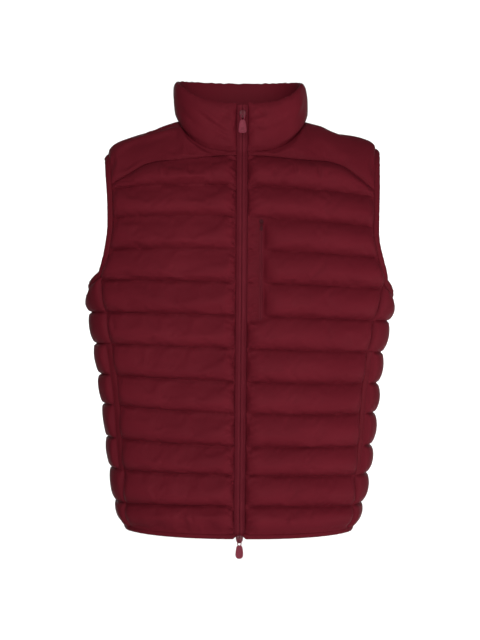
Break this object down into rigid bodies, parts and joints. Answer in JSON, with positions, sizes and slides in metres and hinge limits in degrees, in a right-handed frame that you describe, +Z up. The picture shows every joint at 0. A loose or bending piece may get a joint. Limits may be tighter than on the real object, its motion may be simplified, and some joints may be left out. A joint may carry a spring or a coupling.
{
  "type": "puffer vest",
  "caption": "Men's sleeveless quilted puffer vest with a stand collar, a two-way front zip and an upright chest pocket zip, filled out as when worn.",
  "frame": {"origin": "midway between the two neck points, at the level where the shoulders carry the vest", "axes": "+Z up, the front faces -Y, +X towards the wearer's left"},
  "size_m": [0.5218, 0.2537, 0.8015],
  "materials": {
    "shell": "soft low-sheen nylon, quilted",
    "yoke": "soft low-sheen nylon",
    "binding": "matte folded binding",
    "tape": "matte woven tape",
    "chain": "dull moulded coil",
    "metal": "satin paint",
    "pull": "soft rubbery plastic"
  },
  "bodies": {
    "root": {"front_left": "shell", "front_right": "shell", "back": "shell", "side_panel_left": "shell", "side_panel_right": "shell", "collar": "shell", "yoke_left": "yoke", "yoke_right": "yoke", "yoke_back": "yoke", "armhole_binding_left": "binding", "armhole_binding_right": "binding", "hem_binding": "binding", "side_pocket_welt_left": "binding", "side_pocket_welt_right": "binding", "zip_tape_left": "tape", "zip_tape_right": "tape", "chest_pocket_zip": "tape", "zip_chain": "chain", "top_slider": "metal", "bottom_slider": "metal", "chest_pocket_slider": "metal"},
    "top_pull": {"top_pull_tab": "pull"},
    "bottom_pull": {"bottom_pull_tab": "pull"},
    "pocket_pull": {"chest_pocket_pull": "pull"}
  },
  "joints": [
    {"name": "top_pull_hinge", "type": "hinge", "parent": "root", "child": "top_pull", "pos_m": [0, -0.08994, 0.0015], "axis": [-1, 0, 0], "range_deg": [0, 170]},
    {"name": "bottom_pull_hinge", "type": "hinge", "parent": "root", "child": "bottom_pull", "pos_m": [0, -0.11237, -0.693], "axis": [-1, 0, 0], "range_deg": [0, 170]},
    {"name": "pocket_pull_hinge", "type": "hinge", "parent": "root", "child": "pocket_pull", "pos_m": [0.03152, -0.11888, -0.17684], "axis": [-1, 0, 0], "range_deg": [0, 170]}
  ]
}
